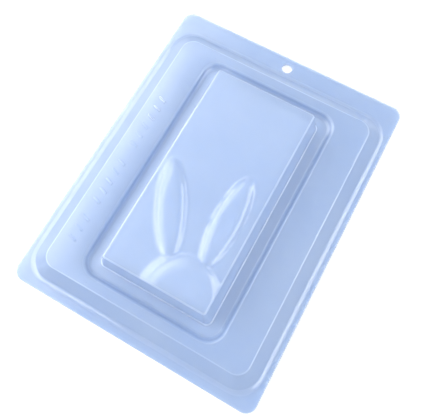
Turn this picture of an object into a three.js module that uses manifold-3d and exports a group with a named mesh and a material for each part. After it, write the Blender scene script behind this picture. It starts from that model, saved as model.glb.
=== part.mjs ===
// Three-part tablet mould: two vacuum-formed plates with a silicone liner between them.
// The stack lies with its flanges down, so the cavity side faces the table and the
// raised backs of the plates face up. Units are millimetres, +Z is up, and the origin
// is the centre of the underside of the lowest flange.

import * as THREE from 'three';
import { mergeVertices } from 'three/addons/utils/BufferGeometryUtils.js';
import Module from 'manifold-3d';

const wasm = await Module();
wasm.setup();

// ---- Driving dimensions ----

// The cut sheet that both plates are formed from.
const SHEET_WIDTH = 183;
const SHEET_LENGTH = 240;
const SHEET_CORNER_RADIUS = 7.5;
const SHEET_THICKNESS = 0.9;

// The hole for a peg, near the sheet's far end.
const HANG_HOLE_RADIUS = 4;
const HANG_HOLE_Y = 111.3;

// Everything formed sits nearer the end that has no hang hole.
const FORMED_CENTRE_Y = -4.4;

// Space left between pieces that lie on each other.
const NEST_GAP = 0.3;

// Heights above the flange of the plate that they belong to.
const PLATEAU_HEIGHT = 8;
const SEAT_HEIGHT = 5;
const TABLET_HEIGHT = 25;

// Half sizes of the shell plate's steps, from the flange inwards.
const PLATEAU_FOOT = { halfX: 86.6, halfY: 108.2, radius: 17 };
const PLATEAU_EDGE = { halfX: 76.3, halfY: 98, radius: 9 };
const SEAT_EDGE = { halfX: 52.6, halfY: 90.6, radius: 12.5 };
const SEAT_FLOOR = { halfX: 50.2, halfY: 88.2, radius: 10.5 };
const TABLET_FOOT = { halfX: 41.8, halfY: 80.3, radius: 4 };
const TABLET_EDGE = { halfX: 37.3, halfY: 76.3, radius: 2 };

// The rabbit on the tablet's face: low domes, placed from the sheet's centre.
const RABBIT_DOMES = [
  { x: -15.5, y: -32, halfLength: 34.5, halfWidth: 10.3, turn: 118.5, rise: 3 },
  { x: 20.8, y: -22.3, halfLength: 33.4, halfWidth: 10.2, turn: 91.5, rise: 3 },
  { x: 17, y: -78.4, halfLength: 26.6, halfWidth: 26.6, turn: 0, rise: 4 },
];
// A dome falls away from its middle with this power of the distance.
const DOME_POWER = 5;
// A dome's skirt goes on past its outline by this share, to end inside the plate.
const DOME_SKIRT = 1.06;

// Plain raised ribs along the plateau, in three groups.
const RIB = { halfLength: 3.4, halfWidth: 0.9, height: 0.5, taper: 0.4, turn: -18, x: -66.8, pitch: 8 };
const RIB_GROUPS = [
  { startY: -79, count: 3 },
  { startY: -49, count: 5 },
  { startY: -1, count: 6 },
];

// The silicone liner wraps the core and leaves this much room for the casting.
const LINER_THICKNESS = 1.5;
const CASTING_THICKNESS = 3;
const LINER_FLANGE = { halfX: 49.2, halfY: 87.2, radius: 9.5 };

const CORNER_SEGMENTS = 6;
const RIB_SEGMENTS = 3;
const DOME_SEGMENTS = 28;
const HOLE_SEGMENTS = 32;

// Vertices nearer than this are one vertex.
const WELD = 1e-4;
// No corner gets a smaller radius, and none takes more than this share of a half size.
const SMALLEST_RADIUS = 0.5;
const ROUNDEST_CORNER = 0.98;

// ---- Colours and finishes ----

const PLATE_FINISH = { color: 0xb9d0f2, roughness: 0.18, metalness: 0 };
const LINER_FINISH = { color: 0xe9eef2, roughness: 0.5, metalness: 0 };

// ---- Outlines and blocks ----

function roundedRectangle({ halfX, halfY, radius }) {
  const x = halfX - radius;
  const y = halfY - radius;
  const shape = new THREE.Shape();
  shape.absarc(x, y, radius, 0, 0.5 * Math.PI);
  shape.absarc(-x, y, radius, 0.5 * Math.PI, Math.PI);
  shape.absarc(-x, -y, radius, Math.PI, 1.5 * Math.PI);
  shape.absarc(x, -y, radius, 1.5 * Math.PI, 2 * Math.PI);
  shape.closePath();
  return shape;
}

function solidOf(geometry) {
  geometry.deleteAttribute('normal');
  geometry.deleteAttribute('uv');
  const merged = mergeVertices(geometry, WELD);
  const vertProperties = new Float32Array(merged.attributes.position.array);
  const triVerts = new Uint32Array(merged.index.array);
  return new wasm.Manifold(new wasm.Mesh({ numProp: 3, vertProperties, triVerts }));
}

// A block whose outline changes from one rounded rectangle to another as it rises.
function taperedBlock({ lower, upper }, curveSegments = CORNER_SEGMENTS) {
  const depth = upper.z - lower.z;
  const outline = roundedRectangle(lower);
  const geometry = new THREE.ExtrudeGeometry(outline, { depth, bevelEnabled: false, curveSegments });
  const position = geometry.attributes.position;
  for (let i = 0; i < position.count; i += 1) {
    if (position.getZ(i) > depth / 2) {
      const sideX = Math.sign(position.getX(i));
      const sideY = Math.sign(position.getY(i));
      const alongX = (position.getX(i) - sideX * (lower.halfX - lower.radius)) / lower.radius;
      const alongY = (position.getY(i) - sideY * (lower.halfY - lower.radius)) / lower.radius;
      const x = sideX * (upper.halfX - upper.radius) + alongX * upper.radius;
      const y = sideY * (upper.halfY - upper.radius) + alongY * upper.radius;
      position.setXY(i, x, y);
    }
  }
  geometry.translate(0, 0, lower.z);
  return geometry;
}

// A step of a formed plate: a raised block, or a recess that widens as it rises.
function step(lower, lowerZ, upper, upperZ) {
  return { lower: { ...lower, z: lowerZ }, upper: { ...upper, z: upperZ } };
}

// The same step with its walls carried on further down and up.
function extended({ lower, upper }, down, up) {
  const rise = upper.z - lower.z;
  const at = (z) => {
    const share = (z - lower.z) / rise;
    return {
      halfX: THREE.MathUtils.lerp(lower.halfX, upper.halfX, share),
      halfY: THREE.MathUtils.lerp(lower.halfY, upper.halfY, share),
      radius: Math.max(THREE.MathUtils.lerp(lower.radius, upper.radius, share), SMALLEST_RADIUS),
      z,
    };
  };
  return { lower: at(lower.z - down), upper: at(upper.z + up) };
}

// The underside of a step, one sheet thickness in from its top and its walls.
function underside({ lower, upper }, thickness) {
  const run = lower.halfX - upper.halfX;
  const slope = Math.atan2(upper.z - lower.z, Math.abs(run));
  const inset = Math.sign(run) * thickness * Math.tan(slope / 2);
  const shifted = (outline) => ({
    halfX: outline.halfX - inset,
    halfY: outline.halfY - inset,
    radius: Math.max(outline.radius - inset, SMALLEST_RADIUS),
    z: outline.z - thickness,
  });
  return { lower: shifted(lower), upper: shifted(upper) };
}

// The same step moved down and drawn in on every side.
function nested({ lower, upper }, down, inset) {
  const moved = (outline) => ({
    halfX: outline.halfX - inset,
    halfY: outline.halfY - inset,
    radius: Math.max(outline.radius - inset, SMALLEST_RADIUS),
    z: outline.z - down,
  });
  return { lower: moved(lower), upper: moved(upper) };
}

function formedSolid(block) {
  return solidOf(taperedBlock(block).translate(0, FORMED_CENTRE_Y, 0));
}

function flatSheet(bottomZ, thickness) {
  const outline = { halfX: SHEET_WIDTH / 2, halfY: SHEET_LENGTH / 2, radius: SHEET_CORNER_RADIUS };
  const block = { lower: { ...outline, z: bottomZ }, upper: { ...outline, z: bottomZ + thickness } };
  return solidOf(taperedBlock(block));
}

function hangHole(bottomZ) {
  const height = 4 * SHEET_THICKNESS;
  const cutter = new THREE.CylinderGeometry(HANG_HOLE_RADIUS, HANG_HOLE_RADIUS, height, HOLE_SEGMENTS);
  return solidOf(cutter.rotateX(Math.PI / 2).translate(0, HANG_HOLE_Y, bottomZ));
}

// ---- Relief on the shell plate ----

// One flat-topped dome of the rabbit; shrink makes the hollow underside of the same dome.
function rabbitDome(dome, faceZ, shrink) {
  const geometry = new THREE.SphereGeometry(1, DOME_SEGMENTS, DOME_SEGMENTS / 2).rotateX(Math.PI / 2);
  const position = geometry.attributes.position;
  for (let i = 0; i < position.count; i += 1) {
    const reach = DOME_SKIRT * Math.hypot(position.getX(i), position.getY(i));
    const isBelow = position.getZ(i) < -WELD;
    position.setZ(i, isBelow ? -2 * SHEET_THICKNESS : dome.rise * (1 - reach ** DOME_POWER));
  }
  geometry.scale(
    DOME_SKIRT * (dome.halfLength - shrink),
    DOME_SKIRT * (dome.halfWidth - shrink),
    1,
  );
  geometry.rotateZ(THREE.MathUtils.degToRad(dome.turn));
  return solidOf(geometry.translate(dome.x, dome.y, faceZ - shrink));
}

function rabbit(tablet, faceZ, shrink) {
  const domes = RABBIT_DOMES.map((dome) => rabbitDome(dome, faceZ, shrink));
  const joined = domes.reduce((sum, dome) => sum.add(dome));
  return joined.intersect(formedSolid(extended(tablet, -2 * SHEET_THICKNESS, 2 * PLATEAU_HEIGHT)));
}

function ribs(plateauZ) {
  const sunk = SHEET_THICKNESS / 3;
  const outline = (inset) => ({
    halfX: RIB.halfLength - inset,
    halfY: RIB.halfWidth - inset,
    radius: (RIB.halfWidth - inset) * ROUNDEST_CORNER,
  });
  const block = step(outline(0), plateauZ - sunk, outline(RIB.taper), plateauZ + RIB.height);
  const solids = RIB_GROUPS.flatMap(({ startY, count }) =>
    Array.from({ length: count }, (_, index) => {
      const rib = taperedBlock(block, RIB_SEGMENTS).rotateZ(THREE.MathUtils.degToRad(RIB.turn));
      return solidOf(rib.translate(RIB.x, startY + index * RIB.pitch, 0));
    }));
  return solids.reduce((sum, solid) => sum.add(solid));
}

// ---- The steps of each piece ----

function undersideOfSteps({ plateau, seat, tablet }) {
  return {
    plateau: underside(plateau, SHEET_THICKNESS),
    seat: underside(seat, SHEET_THICKNESS),
    tablet: underside(tablet, SHEET_THICKNESS),
  };
}

const shellFlangeBottom = SHEET_THICKNESS + NEST_GAP;
const shellFlangeTop = shellFlangeBottom + SHEET_THICKNESS;
const shellPlateauTop = shellFlangeTop + PLATEAU_HEIGHT;
const shellSeatTop = shellFlangeTop + SEAT_HEIGHT;
const shellFaceTop = shellFlangeTop + TABLET_HEIGHT;
const shellSteps = {
  plateau: step(PLATEAU_FOOT, shellFlangeTop, PLATEAU_EDGE, shellPlateauTop),
  seat: step(SEAT_FLOOR, shellSeatTop, SEAT_EDGE, shellPlateauTop),
  tablet: step(TABLET_FOOT, shellSeatTop, TABLET_EDGE, shellFaceTop),
};
const shellUnder = undersideOfSteps(shellSteps);

// The liner's flange lies under the seat, and its body stands the casting's thickness
// in from the wall and the face of the cavity.
const linerFlangeTop = shellUnder.seat.lower.z - NEST_GAP;
const linerFlangeBottom = linerFlangeTop - LINER_THICKNESS;
const cavityLessCasting = nested(shellUnder.tablet, 0, CASTING_THICKNESS);
const linerTablet = extended(cavityLessCasting, NEST_GAP, -CASTING_THICKNESS);
const linerUnderTablet = underside(linerTablet, LINER_THICKNESS);

// The core plate follows the shell plate on the plateau and the liner on the tablet.
const coreSeatTop = linerFlangeBottom - NEST_GAP;
const coreSeat = nested(shellUnder.seat, NEST_GAP, -NEST_GAP);
const coreTablet = nested(linerUnderTablet, NEST_GAP, NEST_GAP);
const coreSteps = {
  plateau: nested(shellUnder.plateau, NEST_GAP, NEST_GAP),
  seat: extended(coreSeat, coreSeat.lower.z - coreSeatTop, 0),
  tablet: extended(coreTablet, coreTablet.lower.z - coreSeatTop, 0),
};

// ---- Pieces ----

// A plate's steps as one solid: the plateau, less the seat around the tablet, and the tablet.
function stackedSteps({ plateau, seat, tablet }, sunk) {
  return formedSolid(extended(plateau, sunk, 0))
    .subtract(formedSolid(extended(seat, 0, SHEET_THICKNESS)))
    .add(formedSolid(extended(tablet, sunk, 0)));
}

// A flat sheet raised into steps, with the hollow beneath them open at the flange.
function formedPlate(flangeBottom, outside, hollow) {
  return flatSheet(flangeBottom, SHEET_THICKNESS)
    .add(outside)
    .subtract(hollow)
    .subtract(hangHole(flangeBottom));
}

function shellPlate() {
  const outside = stackedSteps(shellSteps, SHEET_THICKNESS / 2)
    .add(rabbit(shellSteps.tablet, shellFaceTop, 0))
    .add(ribs(shellPlateauTop));
  const hollow = stackedSteps(shellUnder, 2 * SHEET_THICKNESS)
    .add(rabbit(shellUnder.tablet, shellFaceTop, SHEET_THICKNESS));
  return formedPlate(shellFlangeBottom, outside, hollow);
}

function corePlate() {
  const outside = stackedSteps(coreSteps, SHEET_THICKNESS / 2);
  const hollow = stackedSteps(undersideOfSteps(coreSteps), 2 * SHEET_THICKNESS);
  return formedPlate(0, outside, hollow);
}

function siliconeLiner() {
  const flange = step(LINER_FLANGE, linerFlangeBottom, LINER_FLANGE, linerFlangeTop);
  return formedSolid(flange)
    .add(formedSolid(extended(linerTablet, LINER_THICKNESS / 2, 0)))
    .subtract(formedSolid(extended(linerUnderTablet, 2 * LINER_THICKNESS, 0)));
}

function meshOf(name, solid, finish) {
  const { vertProperties, triVerts } = solid.getMesh();
  const geometry = new THREE.BufferGeometry();
  geometry.setAttribute('position', new THREE.BufferAttribute(vertProperties, 3));
  geometry.setIndex(new THREE.BufferAttribute(triVerts, 1));
  geometry.computeVertexNormals();
  const mesh = new THREE.Mesh(geometry, new THREE.MeshStandardMaterial(finish));
  mesh.name = name;
  return mesh;
}

const mould = new THREE.Group();
mould.add(
  meshOf('core_plate', corePlate(), PLATE_FINISH),
  meshOf('silicone_liner', siliconeLiner(), LINER_FINISH),
  meshOf('shell_plate', shellPlate(), PLATE_FINISH),
);

export default mould;
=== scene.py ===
"""Three-part tablet mould: a formed shell plate over a silicone liner over a formed core plate."""

import math
from collections import namedtuple

import bmesh
import bpy
from bpy.props import FloatProperty, FloatVectorProperty, PointerProperty
from bpy.types import Operator, Panel, PropertyGroup
from mathutils import Matrix, Vector


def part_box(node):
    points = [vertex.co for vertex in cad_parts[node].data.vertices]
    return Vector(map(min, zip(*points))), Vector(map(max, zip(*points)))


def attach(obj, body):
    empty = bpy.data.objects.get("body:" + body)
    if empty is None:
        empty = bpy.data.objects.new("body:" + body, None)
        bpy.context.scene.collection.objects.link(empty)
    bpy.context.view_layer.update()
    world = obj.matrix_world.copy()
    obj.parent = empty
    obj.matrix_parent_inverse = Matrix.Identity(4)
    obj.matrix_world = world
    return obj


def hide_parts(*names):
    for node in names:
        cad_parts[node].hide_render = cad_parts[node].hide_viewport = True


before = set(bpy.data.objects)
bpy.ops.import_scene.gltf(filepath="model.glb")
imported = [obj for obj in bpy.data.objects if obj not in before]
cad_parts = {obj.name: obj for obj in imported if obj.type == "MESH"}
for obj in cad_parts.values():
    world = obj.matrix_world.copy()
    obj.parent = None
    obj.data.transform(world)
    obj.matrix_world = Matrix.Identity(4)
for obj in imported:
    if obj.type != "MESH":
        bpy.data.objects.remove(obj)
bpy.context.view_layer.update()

bl_info = {
    "name": "Three-part tablet mould",
    "version": (1, 0, 0),
    "blender": (4, 5, 0),
    "location": "View3D > Sidebar > Tablet mould",
    "description": "Builds a nested tablet mould of two formed plates and a silicone liner",
    "category": "Add Mesh",
}

MM = 0.001
# Vertex attribute for the folds' painted highlight lines, which also stand for the sheet thinned
# by stretching.
FOLD_HIGHLIGHT_AND_STRETCH = "stretch"
SHELL_LOW, SHELL_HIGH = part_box("shell_plate")
CORE_LOW, CORE_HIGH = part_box("core_plate")
LINER_LOW, LINER_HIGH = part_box("silicone_liner")


# ---- Sizes and finishes that a user may change ----

def outline_property(name, description, half_width, half_length, radius):
    """Half width, half length and corner radius of one fold line."""
    return FloatVectorProperty(
        name=name, description=description, size=3, unit="LENGTH",
        default=(half_width * MM, half_length * MM, radius * MM),
    )


def length_property(name, description, millimetres):
    """A length that is given in millimetres and kept in metres."""
    return FloatProperty(
        name=name, description=description, unit="LENGTH", default=millimetres * MM,
    )


def colour_property(name, description, red, green, blue):
    """A linear colour."""
    return FloatVectorProperty(
        name=name, description=description, size=3, subtype="COLOR", min=0, max=1,
        default=(red, green, blue),
    )


class MouldSizes(PropertyGroup):
    """Sizes of the formed sheet and of the liner."""
    thickness: length_property("Sheet thickness", "Thickness of the formed sheet", 0.9)
    sheet_radius: length_property("Sheet corner", "Corner radius of the cut sheet", 7.5)
    plateau_foot: outline_property("Plateau foot", "Where the flange turns up", 86.6, 108.2, 17)
    plateau_edge: outline_property("Plateau edge", "Outer edge of the plateau", 76.3, 98, 9)
    seat_edge: outline_property("Seat edge", "Where the plateau turns down", 52.6, 90.6, 12.5)
    seat_floor: outline_property("Seat floor", "Outer edge of the sunken seat", 50.2, 88.2, 10.5)
    tablet_foot: outline_property("Tablet foot", "Where the tablet's wall starts", 41.8, 80.3, 4)
    tablet_edge: outline_property("Tablet edge", "Edge of the tablet's face", 37.3, 76.3, 2)
    formed_centre: length_property("Formed centre", "Middle of the steps along the sheet", -4.4)
    plateau_height: length_property("Plateau height", "Height of the plateau over the flange", 8)
    seat_height: length_property("Seat height", "Height of the seat over the flange", 5)
    tablet_height: length_property("Tablet height", "Height of the face over the flange", 25)
    hole_radius: length_property("Hang hole", "Radius of the hang hole", 4)
    hole_place: length_property("Hang hole place", "Distance from the sheet's middle", 111.3)
    liner_thickness: length_property("Liner thickness", "Thickness of the silicone", 1.5)
    casting: length_property("Casting", "Room between the liner and the shell plate", 3)
    gap: length_property("Nesting gap", "Space between pieces that lie on each other", 0.3)


class MouldFinish(PropertyGroup):
    """Colours of the pieces."""
    sheet_body: colour_property("Sheet body", "Light that the sheet scatters", 0.45, 0.575, 0.86)
    sheet_tint: colour_property("Sheet tint", "Light that one face lets through", 0.93, 0.97, 1.0)
    sheet_density: FloatProperty(
        name="Sheet density", description="Share of light that one face doesn't let through",
        subtype="FACTOR", min=0, max=1, default=0.31,
    )
    silicone: colour_property("Silicone", "Colour of the silicone", 0.68, 0.76, 0.94)
    floor: colour_property("Floor", "Colour of the studio floor", 0.93, 0.93, 0.93)


# ---- Outlines and folds ----

ON_LINE = 0.02 * MM     # how near a point has to be to lie on a fold line
CORNER_END = 0.01 * MM  # how far past a straight side's end a point may be
WELD = 0.05 * MM
PARTING = 5 * MM        # how far two lines on one level are held apart while they are bridged
SMOOTH_ANGLE = math.radians(32)

# pale: how much lighter and more opaque a fold is painted, as a painted highlight line and partly
# for the stretched sheet.
Fold = namedtuple("Fold", "half_x half_y radius centre_y z softness segments pale")


def fold(outline, centre_y, z, softness=0.0, segments=1, pale=0.0):
    """A rounded rectangle at height z, rounded over softness to each side where it folds.

    Along a fold the sheet is painted lighter and more opaque, by the share that pale gives: partly
    the sheet thinned by stretching, partly a painted highlight line on the fold.
    """
    return Fold(outline[0], outline[1], outline[2], centre_y, z, softness * MM, segments, pale)


def distance_to(line, point):
    """How far a point is outside the rounded rectangle, seen from above."""
    across = abs(point.x) - (line.half_x - line.radius)
    along = abs(point.y - line.centre_y) - (line.half_y - line.radius)
    outside = math.hypot(max(across, 0), max(along, 0))
    return outside + min(max(across, along), 0) - line.radius


def on_fold(line, point):
    return abs(point.z - line.z) < ON_LINE and abs(distance_to(line, point)) < ON_LINE


def select_edges(test):
    """Selects just the edges whose two ends pass the test."""
    bpy.ops.mesh.select_all(action="DESELECT")
    bpy.ops.mesh.select_mode(type="EDGE")
    mesh = bmesh.from_edit_mesh(bpy.context.object.data)
    for edge in mesh.edges:
        if all(test(vertex.co) for vertex in edge.verts):
            edge.select_set(True)
    bmesh.update_edit_mesh(bpy.context.object.data)


def open_new_mesh(name):
    """An empty mesh object, in edit mode, with nothing else selected."""
    bpy.ops.object.select_all(action="DESELECT")
    bpy.ops.mesh.primitive_plane_add(size=1)
    piece = bpy.context.object
    piece.name = name
    piece.data.name = name
    bpy.ops.object.mode_set(mode="EDIT")
    bpy.ops.mesh.select_all(action="SELECT")
    bpy.ops.mesh.delete(type="VERT")
    return piece


def add_outline(line, corner_steps, width_steps, length_steps):
    """One fold line as a loop of edges, with equal steps along each side and each corner."""
    centre = (0, line.centre_y, line.z)
    bpy.ops.mesh.select_all(action="DESELECT")
    bpy.ops.mesh.primitive_plane_add(size=2, location=centre)
    bpy.ops.transform.resize(value=(line.half_x, line.half_y, 1), center_override=centre)
    bpy.ops.mesh.select_mode(type="VERT")
    bpy.ops.mesh.bevel(
        offset=line.radius, segments=corner_steps, affect="VERTICES", clamp_overlap=False,
    )
    bpy.ops.mesh.delete(type="ONLY_FACE")
    side_x = line.half_x - line.radius + CORNER_END
    side_y = line.half_y - line.radius + CORNER_END
    select_edges(lambda p: on_fold(line, p) and abs(p.x) < side_x)
    bpy.ops.mesh.subdivide(number_cuts=width_steps - 1)
    select_edges(lambda p: on_fold(line, p) and abs(p.y - line.centre_y) < side_y)
    bpy.ops.mesh.subdivide(number_cuts=length_steps - 1)


def lift(line, height):
    """Moves one fold line up or down and gives the line where it then lies."""
    select_edges(lambda p: on_fold(line, p))
    bpy.ops.transform.translate(value=(0, 0, height))
    return line._replace(z=line.z + height)


def bridge(first, second):
    """A strip between two fold lines, which are held apart meanwhile if they lie on one level."""
    level = abs(first.z - second.z) < MM
    parted = lift(second, -PARTING) if level else second
    select_edges(lambda p: on_fold(first, p) or on_fold(parted, p))
    bpy.ops.mesh.bridge_edge_loops()
    if level:
        lift(parted, PARTING)


def fill_face(line, width_steps):
    """Closes the innermost outline with a square grid, and with short triangles at its corners."""
    select_edges(lambda p: on_fold(line, p))
    bpy.ops.mesh.edge_face_add()
    bpy.ops.mesh.inset(thickness=line.radius)
    bpy.ops.mesh.delete(type="ONLY_FACE")
    bpy.ops.mesh.select_all(action="SELECT")
    bpy.ops.mesh.remove_doubles(threshold=WELD)
    grid_x = line.half_x - line.radius
    select_edges(lambda p: abs(p.z - line.z) < WELD and abs(abs(p.x) - grid_x) < WELD
                 and distance_to(line, p) < WELD - line.radius)
    bpy.ops.mesh.bridge_edge_loops(number_cuts=width_steps - 1, interpolation="LINEAR")
    bpy.ops.mesh.select_all(action="SELECT")
    bpy.ops.mesh.remove_doubles(threshold=WELD)


def soften(line):
    """Rounds one fold over its softness, and marks the rounding with how much lighter it is
    painted, partly for stretching and partly as a painted highlight line.
    """
    select_edges(lambda p: on_fold(line, p))
    bpy.ops.mesh.bevel(
        offset=line.softness, segments=line.segments, affect="EDGES", clamp_overlap=False,
    )
    mesh = bmesh.from_edit_mesh(bpy.context.object.data)
    layer = mesh.verts.layers.float.get(FOLD_HIGHLIGHT_AND_STRETCH) or mesh.verts.layers.float.new(FOLD_HIGHLIGHT_AND_STRETCH)
    for vertex in mesh.verts:
        if vertex.select and all(face.select for face in vertex.link_faces):
            vertex[layer] = line.pale
    bmesh.update_edit_mesh(bpy.context.object.data)


def formed_skin(name, folds, corner_steps, width_steps, length_steps):
    """The upper surface of a formed piece, from its cut edge to its filled face."""
    piece = open_new_mesh(name)
    for line in folds:
        add_outline(line, corner_steps, width_steps, length_steps)
    for first, second in zip(folds, folds[1:]):
        bridge(first, second)
    fill_face(folds[-1], width_steps)
    for line in folds:
        if line.softness:
            soften(line)
    bpy.ops.mesh.select_all(action="SELECT")
    bpy.ops.mesh.normals_make_consistent(inside=False)
    mesh = bmesh.from_edit_mesh(piece.data)
    if sum(face.normal.z * face.calc_area() for face in mesh.faces) < 0:
        bpy.ops.mesh.flip_normals()
    bpy.ops.object.mode_set(mode="OBJECT")
    return piece


def select_only(piece):
    bpy.ops.object.select_all(action="DESELECT")
    piece.select_set(True)
    bpy.context.view_layer.objects.active = piece


def apply_modifier(piece, kind, **settings):
    modifier = piece.modifiers.new(kind.title(), kind)
    for key, value in settings.items():
        setattr(modifier, key, value)
    select_only(piece)
    bpy.ops.object.modifier_apply(modifier=modifier.name)


def thicken(piece, thickness):
    """Gives a skin its thickness, downwards and inwards."""
    apply_modifier(piece, "SOLIDIFY", thickness=thickness, offset=-1)


def smooth(piece):
    select_only(piece)
    bpy.ops.object.shade_smooth_by_angle(angle=SMOOTH_ANGLE)


def under(lower, upper, thickness):
    """How far the underside of a step lies inside its outline."""
    slope = math.atan2(upper.z - lower.z, abs(lower.half_x - upper.half_x))
    return math.copysign(thickness * math.tan(slope / 2), lower.half_x - upper.half_x)


def moved(line, down, inset):
    return line._replace(half_x=line.half_x - inset, half_y=line.half_y - inset, z=line.z - down)


def carried_to(lower, upper, z, **changes):
    """The outline where the wall through two outlines reaches height z."""
    share = (z - lower.z) / (upper.z - lower.z)
    half_x = lower.half_x + share * (upper.half_x - lower.half_x)
    half_y = lower.half_y + share * (upper.half_y - lower.half_y)
    return lower._replace(half_x=half_x, half_y=half_y, z=z, **changes)


def shell_folds(sizes):
    """The shell plate's fold lines, from the cut edge inwards."""
    flange = SHELL_LOW.z + sizes.thickness
    plateau = flange + sizes.plateau_height
    seat = flange + sizes.seat_height
    face = flange + sizes.tablet_height
    centre = sizes.formed_centre
    # The last number of each softened fold is how strongly it is painted lighter: a painted
    # highlight line, partly also the stretched sheet.
    return [
        fold((SHELL_HIGH.x, SHELL_HIGH.y, sizes.sheet_radius), 0, flange),
        fold(sizes.plateau_foot, centre, flange, 2.2, 6, 0.15),
        fold(sizes.plateau_edge, centre, plateau, 0.6, 4, 0.25),
        fold(sizes.seat_edge, centre, plateau, 1.2, 5, 0.1),
        fold(sizes.seat_floor, centre, seat, 1.4, 5, 0.1),
        fold(sizes.tablet_foot, centre, seat, 0.9, 5, 0.7),
        fold(sizes.tablet_edge, centre, face, 1.1, 6, 0.25),
    ]


def liner_folds(sizes):
    """The liner's fold lines: a flange under the seat, and a body the casting's room inside."""
    edge, foot, face = shell_folds(sizes)[-3:]
    inset = under(foot, face, sizes.thickness) + sizes.casting
    low = moved(foot, sizes.thickness, inset)
    high = moved(face, sizes.thickness, inset)
    top = LINER_HIGH.z
    flange = low.z - sizes.gap
    return [
        fold((LINER_HIGH.x, (LINER_HIGH.y - LINER_LOW.y) / 2, 9.5 * MM), edge.centre_y, flange),
        carried_to(low, high, flange, radius=4 * MM, softness=1.6 * MM, segments=5),
        carried_to(low, high, top, radius=3.2 * MM, softness=1.8 * MM, segments=6),
    ]


def core_folds(sizes):
    """The core plate's fold lines: outside the seat the shell plate's, inside it the liner's."""
    sheet, plateau_foot, plateau_edge, seat_edge, seat_floor = shell_folds(sizes)[:5]
    flange, liner_foot, liner_edge = liner_folds(sizes)
    flange_top = CORE_LOW.z + sizes.thickness
    drop = sizes.thickness + sizes.gap
    wall_inset = under(plateau_foot, plateau_edge, sizes.thickness) + sizes.gap
    seat_inset = under(seat_floor, seat_edge, sizes.thickness) - sizes.gap
    seat_low = moved(seat_floor, drop, seat_inset)
    seat_high = moved(seat_edge, drop, seat_inset)
    seat_top = flange.z - sizes.liner_thickness - sizes.gap
    liner_drop = sizes.liner_thickness + sizes.gap
    liner_inset = under(liner_foot, liner_edge, sizes.liner_thickness) + sizes.gap
    return [
        sheet._replace(z=flange_top),
        moved(plateau_foot, drop, wall_inset),
        moved(plateau_edge, drop, wall_inset),
        seat_high,
        carried_to(seat_low, seat_high, seat_top),
        moved(liner_foot, liner_drop, liner_inset)._replace(radius=3 * MM, softness=0.8 * MM),
        moved(liner_edge, liner_drop, liner_inset)._replace(radius=2.2 * MM, softness=0.8 * MM),
    ]


# ---- Hang hole, relief and ribs ----

HOLE_STEPS = 72
PUNCH_LENGTH = 6 * MM


def punch_hang_hole(piece, sizes, z):
    bpy.ops.object.select_all(action="DESELECT")
    bpy.ops.mesh.primitive_cylinder_add(
        vertices=HOLE_STEPS, radius=sizes.hole_radius, depth=PUNCH_LENGTH,
        location=(0, sizes.hole_place, z),
    )
    punch = bpy.context.object
    apply_modifier(piece, "BOOLEAN", operation="DIFFERENCE", solver="EXACT", object=punch)
    bpy.data.objects.remove(punch)


# Low domes on the tablet's face: a head and two ears, in millimetres and degrees.
Dome = namedtuple("Dome", "x y half_length half_width turn rise")
RABBIT = [
    Dome(-15.5, -32, 34.5, 10.3, 118.5, 3),
    Dome(20.8, -22.3, 33.4, 10.2, 91.5, 3),
    Dome(17, -78.4, 26.6, 26.6, 0, 4),
]
DOME_POWER = 5      # a dome falls away from its middle with this power of the distance
DOME_BLEND = 0.22   # softness of the creases between domes, in millimetres
RELIEF_BAND = 2 * MM

# Ribs along the plateau, in millimetres and degrees: the first rib's place and the count.
RIB = {
    "half_length": 3.4, "half_width": 0.9, "height": 0.5, "sunk": 0.3, "corner": 0.855,
    "softness": 0.35, "turn": 18, "x": -66.8, "pitch": 8,
}
RIB_GROUPS = [(-79, 3), (-49, 5), (-1, 6)]


def dome_height(dome, x, y):
    """Height of one flat-topped dome over the face, below zero outside it."""
    turn = math.radians(dome.turn)
    along = (x - dome.x) * math.cos(turn) + (y - dome.y) * math.sin(turn)
    across = -(x - dome.x) * math.sin(turn) + (y - dome.y) * math.cos(turn)
    reach = math.hypot(along / dome.half_length, across / dome.half_width)
    return dome.rise * (1 - reach ** DOME_POWER)


def relief_height(x, y):
    """Height of the rabbit over the face, with softened creases."""
    total = 1 + sum(math.exp(dome_height(dome, x, y) / DOME_BLEND) for dome in RABBIT)
    return DOME_BLEND * math.log(total)


def raise_relief(piece, face_z):
    """Weights the face by the relief's height and displaces it upwards."""
    highest = max(dome.rise for dome in RABBIT)
    group = piece.vertex_groups.new(name="relief")
    for vertex in piece.data.vertices:
        if vertex.co.z > face_z - RELIEF_BAND:
            height = relief_height(vertex.co.x / MM, vertex.co.y / MM)
            group.add([vertex.index], min(height / highest, 1), "REPLACE")
    apply_modifier(
        piece, "DISPLACE", direction="Z", mid_level=0, strength=highest * MM,
        vertex_group="relief",
    )
    piece.vertex_groups.clear()


def open_rib(half_height):
    """One rib with rounded corners and a soft top, in edit mode, lying along X."""
    bpy.ops.object.select_all(action="DESELECT")
    bpy.ops.mesh.primitive_cube_add(size=2)
    bpy.ops.object.mode_set(mode="EDIT")
    half_size = (RIB["half_length"] * MM, RIB["half_width"] * MM, half_height)
    bpy.ops.transform.resize(value=half_size)
    bpy.ops.mesh.select_mode(type="EDGE")
    rib = bpy.context.object
    mesh = bmesh.from_edit_mesh(rib.data)
    for edge in mesh.edges:
        edge.select_set(abs(edge.verts[0].co.z - edge.verts[1].co.z) > half_height)
    bmesh.update_edit_mesh(rib.data)
    bpy.ops.mesh.bevel(
        offset=RIB["corner"] * MM, segments=6, affect="EDGES", clamp_overlap=False,
    )
    select_edges(lambda p: p.z > half_height - CORNER_END)
    bpy.ops.mesh.bevel(
        offset=RIB["softness"] * MM, segments=3, affect="EDGES", clamp_overlap=False,
    )
    return rib


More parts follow.
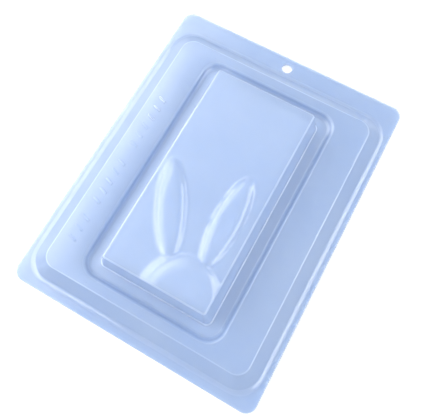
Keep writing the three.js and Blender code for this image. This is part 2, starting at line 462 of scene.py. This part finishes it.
def add_ribs(piece, plateau_z):
    """Plain raised ribs along the plateau, joined to the plate."""
    sunk = RIB["sunk"] * MM
    half_height = (RIB["height"] * MM + sunk) / 2
    ribs = open_rib(half_height)
    bpy.ops.mesh.select_all(action="SELECT")
    bpy.ops.transform.rotate(
        value=math.radians(RIB["turn"]), orient_axis="Z", center_override=(0, 0, 0),
    )
    reached = RIB_GROUPS[0][0] * MM
    centre_z = plateau_z - sunk + half_height
    bpy.ops.transform.translate(value=(RIB["x"] * MM, reached, centre_z))
    for first_y, count in RIB_GROUPS:
        for index in range(count):
            place = (first_y + index * RIB["pitch"]) * MM
            if place > reached:
                bpy.ops.mesh.duplicate()
                bpy.ops.transform.translate(value=(0, place - reached, 0))
                reached = place
    bpy.ops.object.mode_set(mode="OBJECT")
    apply_modifier(piece, "BOOLEAN", operation="UNION", solver="EXACT", object=ribs)
    bpy.data.objects.remove(ribs)


# ---- Materials ----

class Value:
    """A socket of a material's node tree that takes part in arithmetic."""

    def __init__(self, finish, socket):
        self.finish = finish
        self.socket = socket

    def _math(self, operation, other):
        return self.finish.node("ShaderNodeMath", {"operation": operation}, {0: self, 1: other})

    def __add__(self, other):
        return self._math("ADD", other)

    __radd__ = __add__

    def __mul__(self, other):
        return self._math("MULTIPLY", other)

    __rmul__ = __mul__


class Finish:
    """A material under construction."""

    def __init__(self, name):
        self.material = bpy.data.materials.new(name)
        self.material.use_nodes = True
        self.tree = self.material.node_tree
        self.tree.nodes.clear()
        self.output = self.tree.nodes.new("ShaderNodeOutputMaterial")

    def node(self, kind, settings=None, values=None, output=0):
        """Adds a node: its settings first, then the values or links of its sockets."""
        made = self.tree.nodes.new(kind)
        for key, setting in (settings or {}).items():
            setattr(made, key, setting)
        for key, value in (values or {}).items():
            if isinstance(value, Value):
                self.tree.links.new(value.socket, made.inputs[key])
            else:
                made.inputs[key].default_value = value
        return Value(self, made.outputs[output])

    def place(self, scale):
        """The point on the piece, in metres, stretched by scale."""
        coordinates = self.node("ShaderNodeTexCoord", output="Object")
        return self.node("ShaderNodeMapping", None, {"Vector": coordinates, "Scale": scale})

    def noise(self, scale, detail, stretch=(1, 1, 1)):
        return self.node(
            "ShaderNodeTexNoise", None,
            {"Vector": self.place(stretch), "Scale": scale, "Detail": detail, "Roughness": 0.5},
        )

    def blend(self, factor, first, second):
        """One colour fading into another."""
        colours = {0: factor, 6: (*first, 1), 7: (*second, 1)}
        return self.node("ShaderNodeMix", {"data_type": "RGBA"}, colours, output=2)

    def surface(self, shader):
        self.tree.links.new(shader.socket, self.output.inputs["Surface"])
        return self.material


def film_finish(name, look, density, gloss):
    """Glossy, see-through sheet, whose faces tint what they let through and scatter the rest."""
    film = Finish(name)
    clouds = film.noise(18, 2.0)
    ripple = film.noise(30, 1.0)
    grain = film.noise(900, 2.0, (1, 0.25, 1))
    rim = film.node("ShaderNodeLayerWeight", None, {"Blend": 0.3}, output="Facing")
    # Painted highlight lines along the folds, partly also the thinned, stretched sheet: this mask
    # lightens the colour and makes the faces more opaque.
    stretch = film.node("ShaderNodeAttribute", {"attribute_name": FOLD_HIGHLIGHT_AND_STRETCH}, output="Fac")
    body = tuple(look.sheet_body)
    # The lighter colour of the painted fold highlights.
    fold_highlight_and_stretch_tint = tuple(channel + (1 - channel) * 0.3 for channel in body)
    bump = film.node("ShaderNodeBump", None, {
        "Strength": 0.3, "Distance": 0.001, "Height": ripple * 0.8 + grain * 0.01,
    })
    plastic = film.node("ShaderNodeBsdfPrincipled", None, {
        "Base Color": film.blend(clouds * 0.6 + stretch * 0.8, body, fold_highlight_and_stretch_tint),
        "Roughness": grain * 0.10 + clouds * 0.08 + 0.22,
        "IOR": 1.7,
        "Coat Weight": 1.0,
        "Coat Roughness": 0.07,
        "Coat IOR": gloss,
        "Subsurface Weight": 1.0,
        "Subsurface Radius": (1.0, 1.0, 1.0),
        "Subsurface Scale": 0.004,
        "Normal": bump,
    })
    clear = film.node("ShaderNodeBsdfTransparent", None, {"Color": (*look.sheet_tint, 1)})
    # The fold mask here makes the painted highlight lines more opaque.
    share = rim * 0.08 + clouds * 0.05 + stretch * 0.4 + density
    return film.surface(film.node("ShaderNodeMixShader", None, {0: share, 1: clear, 2: plastic}))


def silicone_finish(name, look):
    """Soft, milky silicone with a satin skin."""
    rubber = Finish(name)
    clouds = rubber.noise(30, 3.0)
    skin = rubber.noise(700, 2.0)
    milk = tuple(look.silicone)
    shade = tuple(channel * 0.93 for channel in milk)
    bump = rubber.node("ShaderNodeBump", None, {
        "Strength": 0.12, "Distance": 0.0001, "Height": skin,
    })
    return rubber.surface(rubber.node("ShaderNodeBsdfPrincipled", None, {
        "Base Color": rubber.blend(clouds, shade, milk),
        "Roughness": skin * 0.12 + 0.42,
        "Subsurface Weight": 0.5,
        "Subsurface Radius": (0.004, 0.005, 0.006),
        "Subsurface Scale": 1.0,
        "Sheen Weight": 0.25,
        "IOR": 1.41,
        "Alpha": clouds * 0.15 + 0.72,
        "Normal": bump,
    }))


def floor_finish(name, look):
    """Pale studio paper."""
    paper = Finish(name)
    fibre = paper.noise(120, 3.0)
    pale = tuple(look.floor)
    shade = tuple(channel * 0.99 for channel in pale)
    return paper.surface(paper.node("ShaderNodeBsdfPrincipled", None, {
        "Base Color": paper.blend(fibre, shade, pale), "Roughness": 0.9, "IOR": 1.3,
    }))


def dress(piece, material, body, node):
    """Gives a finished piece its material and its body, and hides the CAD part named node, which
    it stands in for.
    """
    piece.data.materials.clear()
    piece.data.materials.append(material)
    # Shadows through several clear layers end at the bounce limit, so only one piece casts any.
    piece.visible_shadow = node == "shell_plate"
    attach(piece, body)
    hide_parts(node)


# ---- Operators ----

# Mesh steps round each corner, across the width and along the length.
SHELL_STEPS = (10, 72, 150)
INNER_STEPS = (8, 30, 60)
SHELL_GLOSS = 2.2
CORE_GLOSS = 1.6
CORE_DENSITY = 2    # over the sheet density, so that less of the floor shows through


class MOULD_OT_shell_plate(Operator):
    """Forms the outer plate with the rabbit relief, the ribs and the hang hole"""
    bl_idname = "mould.shell_plate"
    bl_label = "Shell plate"

    def execute(self, context):
        sizes = context.scene.mould_sizes
        folds = shell_folds(sizes)
        plate = formed_skin("shell_plate_formed", folds, *SHELL_STEPS)
        raise_relief(plate, folds[-1].z)
        thicken(plate, sizes.thickness)
        punch_hang_hole(plate, sizes, folds[0].z)
        add_ribs(plate, folds[2].z)
        smooth(plate)
        look = context.scene.mould_finish
        film = film_finish("shell_film", look, look.sheet_density, SHELL_GLOSS)
        dress(plate, film, "shell", "shell_plate")
        return {"FINISHED"}


class MOULD_OT_silicone_liner(Operator):
    """Moulds the flexible liner with its flange"""
    bl_idname = "mould.silicone_liner"
    bl_label = "Silicone liner"

    def execute(self, context):
        sizes = context.scene.mould_sizes
        liner = formed_skin("silicone_liner_moulded", liner_folds(sizes), *INNER_STEPS)
        thicken(liner, sizes.liner_thickness)
        smooth(liner)
        finish = silicone_finish("milky_silicone", context.scene.mould_finish)
        dress(liner, finish, "liner", "silicone_liner")
        return {"FINISHED"}


class MOULD_OT_core_plate(Operator):
    """Forms the inner plate that carries the liner"""
    bl_idname = "mould.core_plate"
    bl_label = "Core plate"

    def execute(self, context):
        sizes = context.scene.mould_sizes
        folds = core_folds(sizes)
        plate = formed_skin("core_plate_formed", folds, *INNER_STEPS)
        thicken(plate, sizes.thickness)
        punch_hang_hole(plate, sizes, folds[0].z)
        smooth(plate)
        look = context.scene.mould_finish
        film = film_finish("core_film", look, look.sheet_density * CORE_DENSITY, CORE_GLOSS)
        dress(plate, film, "core", "core_plate")
        return {"FINISHED"}


def area_light(name, place, size, power):
    """A rectangular light that shines at the middle of the scene."""
    light = bpy.data.lights.new(name, "AREA")
    light.shape = "RECTANGLE"
    light.size, light.size_y = size
    light.energy = power
    lamp = bpy.data.objects.new(name, light)
    lamp.location = place
    lamp.rotation_euler = (-Vector(place)).to_track_quat("-Z", "Y").to_euler()
    bpy.context.scene.collection.objects.link(lamp)


FLOOR_SIZE = 4
FLOOR_GAP = 0.2 * MM
GLOW_TOWARD = (-0.5, 0.07, 0.86)
GLOW_WIDENING = (1, 0.3, 1)  # the glow reaches further along Y
GLOW_POWER = 50
GLOW_STRENGTH = 3.0
ROOM_STRENGTH = 0.60


def soft_room():
    """A pale room that glows softly from the upper left."""
    world = bpy.data.worlds.new("soft_room")
    world.use_nodes = True
    tree = world.node_tree

    def step(kind, operation, first, second=None, output=0):
        made = tree.nodes.new(kind)
        made.operation = operation
        tree.links.new(first, made.inputs[0])
        if second is not None:
            made.inputs[1].default_value = second
        return made.outputs[output]

    room = tree.nodes.new("ShaderNodeTexCoord").outputs["Generated"]
    widened = step("ShaderNodeVectorMath", "MULTIPLY", room, GLOW_WIDENING)
    straight = step("ShaderNodeVectorMath", "NORMALIZE", widened)
    glow_middle = Vector(GLOW_TOWARD).normalized()
    glow = step("ShaderNodeVectorMath", "DOT_PRODUCT", straight, glow_middle, output="Value")
    glow = step("ShaderNodeMath", "MAXIMUM", glow, 0)
    glow = step("ShaderNodeMath", "POWER", glow, GLOW_POWER)
    glow = step("ShaderNodeMath", "MULTIPLY", glow, GLOW_STRENGTH)
    glow = step("ShaderNodeMath", "ADD", glow, ROOM_STRENGTH)
    background = tree.nodes["Background"]
    background.inputs["Color"].default_value = (0.97, 0.985, 1.0, 1)
    tree.links.new(glow, background.inputs["Strength"])
    return world


def camera_view():
    """The camera, looking down on the mould from the front right."""
    camera = bpy.data.cameras.new("camera")
    camera.sensor_width = 36
    camera.lens = 38.8
    camera.clip_start = 0.01
    view = bpy.data.objects.new("camera", camera)
    eye = Vector((49.3, -87.2, 309.6)) * MM
    aim = Vector((4.5, -14.8, 2.1)) * MM
    roll = Matrix.Rotation(math.radians(-2.54), 4, "Z")
    upright = (aim - eye).to_track_quat("-Z", "Y").to_matrix().to_4x4()
    view.matrix_world = Matrix.Translation(eye) @ upright @ roll
    bpy.context.scene.collection.objects.link(view)
    return view


class MOULD_OT_studio(Operator):
    """Sets the floor, the soft lights and the camera"""
    bl_idname = "mould.studio"
    bl_label = "Studio"

    def execute(self, context):
        scene = context.scene
        bpy.ops.object.select_all(action="DESELECT")
        bpy.ops.mesh.primitive_plane_add(size=FLOOR_SIZE, location=(0, 0, -FLOOR_GAP))
        floor = context.object
        floor.name = "studio_floor"
        floor.data.materials.append(floor_finish("studio_paper", scene.mould_finish))

        scene.world = soft_room()
        scene.view_settings.view_transform = "Standard"

        area_light("left_strip", (-1.0, -0.15, 0.55), (1.7, 0.75), 11)
        area_light("right_strip", (0.75, 0.25, 0.75), (1.6, 0.60), 7)
        area_light("front_strip", (-0.5, -0.75, 0.8), (0.6, 0.35), 1.6)
        scene.camera = camera_view()
        return {"FINISHED"}


OPERATORS = [MOULD_OT_core_plate, MOULD_OT_silicone_liner, MOULD_OT_shell_plate, MOULD_OT_studio]


class MOULD_PT_panel(Panel):
    """Lists the pieces of the mould"""
    bl_idname = "MOULD_PT_panel"
    bl_label = "Tablet mould"
    bl_space_type = "VIEW_3D"
    bl_region_type = "UI"
    bl_category = "Tablet mould"

    def draw(self, context):
        for operator in OPERATORS:
            self.layout.operator(operator.bl_idname)
        for name in MouldSizes.__annotations__:
            self.layout.prop(context.scene.mould_sizes, name)
        for name in MouldFinish.__annotations__:
            self.layout.prop(context.scene.mould_finish, name)


CLASSES = [MouldSizes, MouldFinish, *OPERATORS, MOULD_PT_panel]


def register():
    for made in CLASSES:
        bpy.utils.register_class(made)
    bpy.types.Scene.mould_sizes = PointerProperty(type=MouldSizes)
    bpy.types.Scene.mould_finish = PointerProperty(type=MouldFinish)


def unregister():
    del bpy.types.Scene.mould_finish
    del bpy.types.Scene.mould_sizes
    for made in reversed(CLASSES):
        bpy.utils.unregister_class(made)


def main():
    register()
    bpy.ops.mould.core_plate()
    bpy.ops.mould.silicone_liner()
    bpy.ops.mould.shell_plate()
    bpy.ops.mould.studio()


if __name__ == "__main__":
    main()
